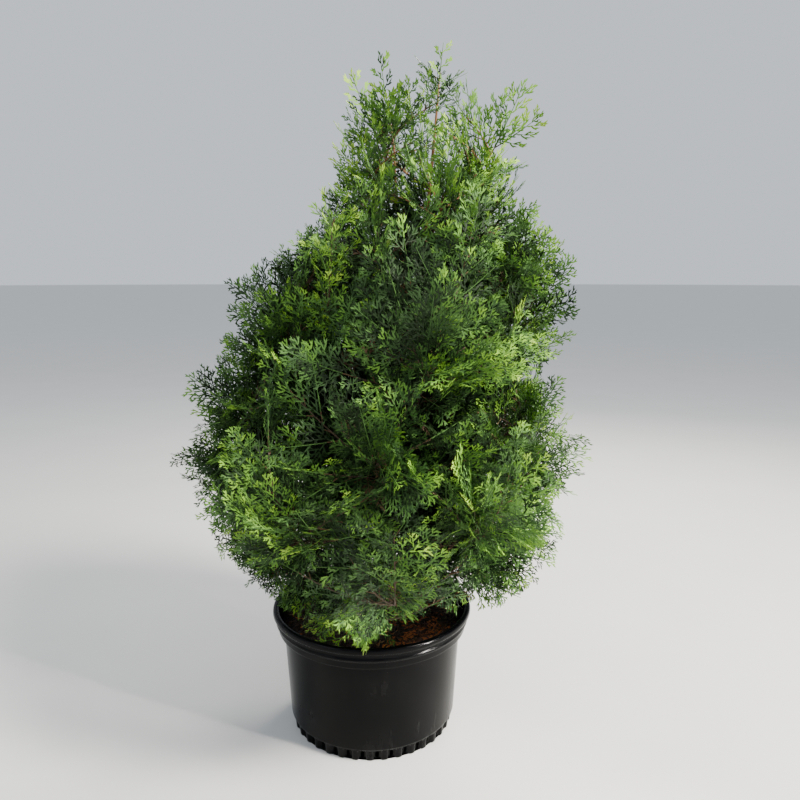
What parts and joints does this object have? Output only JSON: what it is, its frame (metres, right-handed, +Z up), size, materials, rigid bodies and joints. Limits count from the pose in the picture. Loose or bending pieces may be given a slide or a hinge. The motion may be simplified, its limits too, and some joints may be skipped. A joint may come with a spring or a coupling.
{
  "type": "potted thuja",
  "caption": "Young thuja with a leaning main stem, second leader, rising boughs and plumes of flat foliage sprays, in a round black nursery pot of potting mix.",
  "frame": {"origin": "centre of the pot's flat underside, on the ground", "axes": "+Z up along the plant's height, out of the pot's mouth; -Z down, out of the pot's underside; -Y is the side that the picture shows, and +X is the picture's right"},
  "size_m": [0.9158, 0.8877, 1.4749],
  "materials": {
    "pot_plastic": "black moulded polyethylene, softly glossy, slightly scuffed",
    "potting_mix": "dark moist composted bark with dead thuja scraps",
    "bark": "thin orange-brown stringy bark",
    "foliage": "fresh green scale foliage, satin, paler and yellower at the tips"
  },
  "bodies": {
    "root": {"pot": "pot_plastic", "potting_mix": "potting_mix", "trunk": "bark", "second_leader": "bark", "bough_low_1": "bark", "bough_low_2": "bark", "bough_low_3": "bark", "bough_low_4": "bark", "bough_low_5": "bark", "bough_low_6": "bark", "bough_belly_1": "bark", "bough_belly_2": "bark", "bough_belly_3": "bark", "bough_belly_4": "bark", "bough_belly_5": "bark", "bough_belly_6": "bark", "bough_middle_1": "bark", "bough_middle_2": "bark", "bough_middle_3": "bark", "bough_middle_4": "bark", "bough_middle_5": "bark", "foliage_skirt_1": "foliage", "foliage_skirt_2": "foliage", "foliage_skirt_3": "foliage", "foliage_skirt_4": "foliage", "foliage_skirt_5": "foliage", "foliage_low_1": "foliage", "foliage_low_2": "foliage", "foliage_low_3": "foliage", "foliage_low_4": "foliage", "foliage_low_5": "foliage", "foliage_low_6": "foliage", "foliage_belly_1": "foliage", "foliage_belly_2": "foliage", "foliage_belly_3": "foliage", "foliage_belly_4": "foliage", "foliage_belly_5": "foliage", "foliage_belly_6": "foliage", "foliage_middle_1": "foliage", "foliage_middle_2": "foliage", "foliage_middle_3": "foliage", "foliage_middle_4": "foliage", "foliage_middle_5": "foliage", "foliage_shoulder_1": "foliage", "foliage_shoulder_2": "foliage", "foliage_shoulder_3": "foliage", "foliage_shoulder_4": "foliage", "foliage_shoulder_5": "foliage", "foliage_upper_1": "foliage", "foliage_upper_2": "foliage", "foliage_upper_3": "foliage", "foliage_upper_4": "foliage", "foliage_neck_1": "foliage", "foliage_neck_2": "foliage", "foliage_neck_3": "foliage", "foliage_top_1": "foliage", "foliage_top_2": "foliage", "foliage_leader": "foliage", "foliage_second_leader_1": "foliage", "foliage_second_leader_2": "foliage"}
  },
  "joints": []
}
